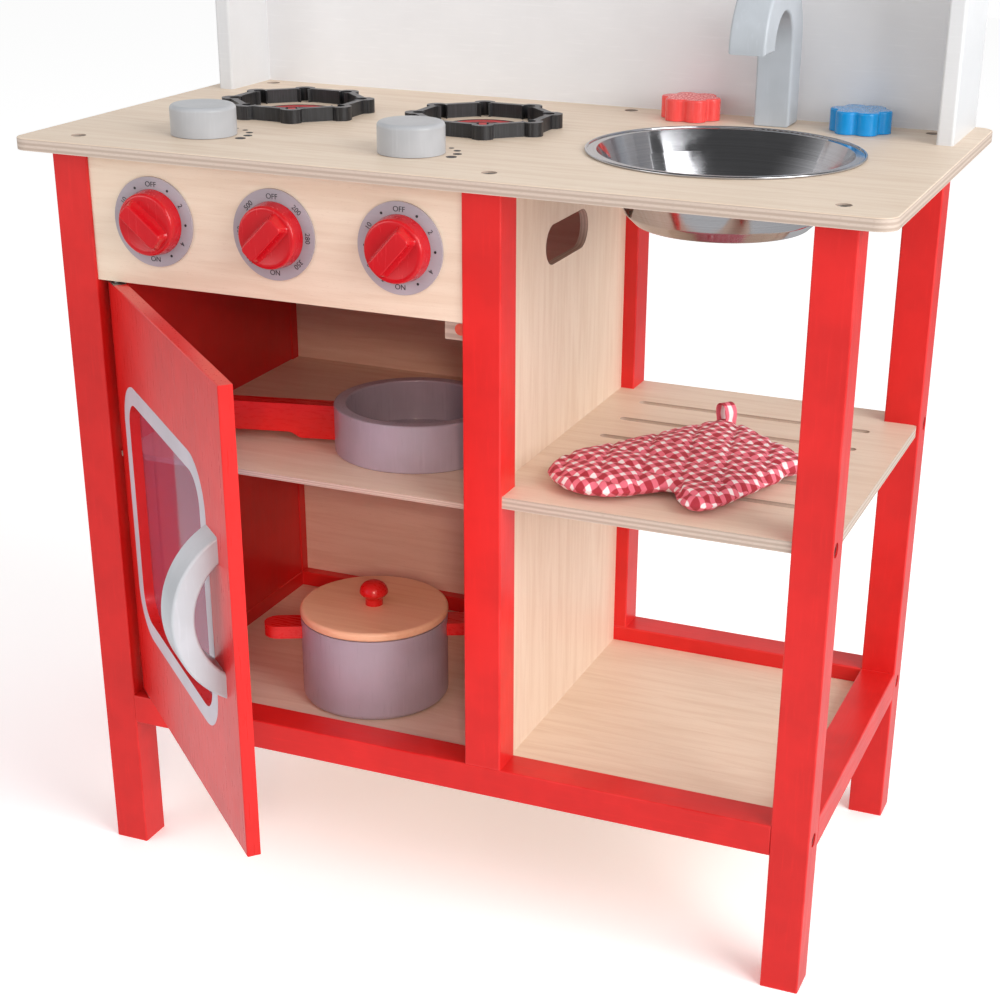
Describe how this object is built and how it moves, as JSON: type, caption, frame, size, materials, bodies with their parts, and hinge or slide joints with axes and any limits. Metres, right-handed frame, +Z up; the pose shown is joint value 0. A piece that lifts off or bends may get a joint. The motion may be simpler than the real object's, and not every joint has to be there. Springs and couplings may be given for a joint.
{
  "type": "play kitchen",
  "caption": "Child's wooden play kitchen with a hob, a sink with taps, a glazed oven door, open shelves, cookware and an oven mitt.",
  "frame": {"origin": "on the floor, in the middle of the bounding box with the door ajar as pictured", "axes": "+X to the right seen from the front, +Y to the back, +Z up"},
  "size_m": [0.6, 0.503, 0.78],
  "materials": {
    "red_paint": "satin red paint on solid wood",
    "natural_wood": "clear matt lacquer on pale plywood",
    "white_paint": "satin white paint on board",
    "grey_paint": "satin silver-grey paint on wood",
    "black_paint": "matt black stained plywood",
    "blue_paint": "gloss blue paint on wood",
    "steel": "polished stainless steel",
    "zinc": "zinc-plated steel",
    "magnet": "painted insert",
    "clear_pane": "clear smooth plastic",
    "gingham": "quilted cotton"
  },
  "bodies": {
    "stand": {"post_front_left": "red_paint", "post_front_middle": "red_paint", "post_front_right": "red_paint", "post_rear_left": "red_paint", "post_rear_middle": "red_paint", "post_rear_right": "red_paint", "rail_front": "red_paint", "rail_rear": "red_paint", "rail_left": "red_paint", "rail_right": "red_paint", "floor_panel": "natural_wood", "left_side_panel": "red_paint", "back_panel": "natural_wood", "divider_panel": "natural_wood", "oven_shelf": "natural_wood", "slatted_shelf": "natural_wood", "control_panel": "natural_wood", "dial_left": "grey_paint", "dial_middle": "grey_paint", "dial_right": "grey_paint", "catch_block": "natural_wood", "catch_magnet": "magnet", "worktop": "natural_wood", "pan_support_left": "black_paint", "pan_support_right": "black_paint", "splash_panel": "white_paint", "wing_right": "white_paint", "wing_left": "white_paint", "top_shelf": "natural_wood", "worktop_bolts": "zinc", "frame_bolts": "zinc", "shelf_screws": "zinc"},
    "door": {"door_panel": "red_paint", "door_pane": "clear_pane", "door_handle": "grey_paint", "door_screws": "zinc", "door_pivot_top": "zinc", "door_pivot_bottom": "zinc", "strike_plate": "zinc"},
    "oven_knob_left_body": {"oven_knob_left": "red_paint"},
    "oven_knob_middle_body": {"oven_knob_middle": "red_paint"},
    "oven_knob_right_body": {"oven_knob_right": "red_paint"},
    "hob_knob_left_body": {"hob_knob_left": "grey_paint"},
    "hob_knob_right_body": {"hob_knob_right": "grey_paint"},
    "tap_hot_body": {"tap_hot": "red_paint"},
    "tap_cold_body": {"tap_cold": "blue_paint"},
    "faucet_body": {"faucet": "grey_paint"},
    "sink": {"sink_bowl": "steel"},
    "pot": {"pot_body": "grey_paint", "pot_handles": "red_paint"},
    "lid": {"pot_lid": "natural_wood", "lid_knob": "red_paint"},
    "pan": {"pan_body": "grey_paint", "pan_handle": "red_paint"},
    "mitt": {"oven_mitt": "gingham", "mitt_loop": "gingham"}
  },
  "joints": [
    {"name": "door_hinge", "type": "hinge", "parent": "stand", "child": "door", "pos_m": [-0.238, -0.06322, 0.1317], "axis": [0, 0, -1], "range_deg": [-43, 67]},
    {"name": "oven_knob_left_turn", "type": "hinge", "parent": "stand", "child": "oven_knob_left_body", "pos_m": [-0.20115, -0.06752, 0.4925], "axis": [0, -1, 0], "continuous": true},
    {"name": "oven_knob_middle_turn", "type": "hinge", "parent": "stand", "child": "oven_knob_middle_body", "pos_m": [-0.1097, -0.06752, 0.4925], "axis": [0, -1, 0], "continuous": true},
    {"name": "oven_knob_right_turn", "type": "hinge", "parent": "stand", "child": "oven_knob_right_body", "pos_m": [-0.01825, -0.06752, 0.4925], "axis": [0, -1, 0], "continuous": true},
    {"name": "hob_knob_left_turn", "type": "hinge", "parent": "stand", "child": "hob_knob_left_body", "pos_m": [-0.1905, -0.01552, 0.543], "axis": [0, 0, 1], "continuous": true},
    {"name": "hob_knob_right_turn", "type": "hinge", "parent": "stand", "child": "hob_knob_right_body", "pos_m": [-0.0345, -0.01552, 0.543], "axis": [0, 0, 1], "continuous": true},
    {"name": "tap_hot_turn", "type": "hinge", "parent": "stand", "child": "tap_hot_body", "pos_m": [0.0894, 0.19448, 0.543], "axis": [0, 0, 1], "continuous": true},
    {"name": "tap_cold_turn", "type": "hinge", "parent": "stand", "child": "tap_cold_body", "pos_m": [0.2146, 0.19448, 0.543], "axis": [0, 0, 1], "continuous": true},
    {"name": "faucet_swivel", "type": "hinge", "parent": "stand", "child": "faucet_body", "pos_m": [0.152, 0.19798, 0.543], "axis": [0, 0, 1], "range_deg": [-60, 60]},
    {"name": "sink_lift", "type": "slide", "parent": "stand", "child": "sink", "axis": [0, 0, 1], "range_m": [0, 0.03]},
    {"name": "pot_lift", "type": "slide", "parent": "stand", "child": "pot", "axis": [0, 0, 1], "range_m": [0, 0.04]},
    {"name": "lid_lift", "type": "slide", "parent": "pot", "child": "lid", "axis": [0, 0, 1], "range_m": [0, 0.05]},
    {"name": "pan_lift", "type": "slide", "parent": "stand", "child": "pan", "axis": [0, 0, 1], "range_m": [0, 0.08]},
    {"name": "mitt_lift", "type": "slide", "parent": "stand", "child": "mitt", "axis": [0, 0, 1], "range_m": [0, 0.08]}
  ]
}
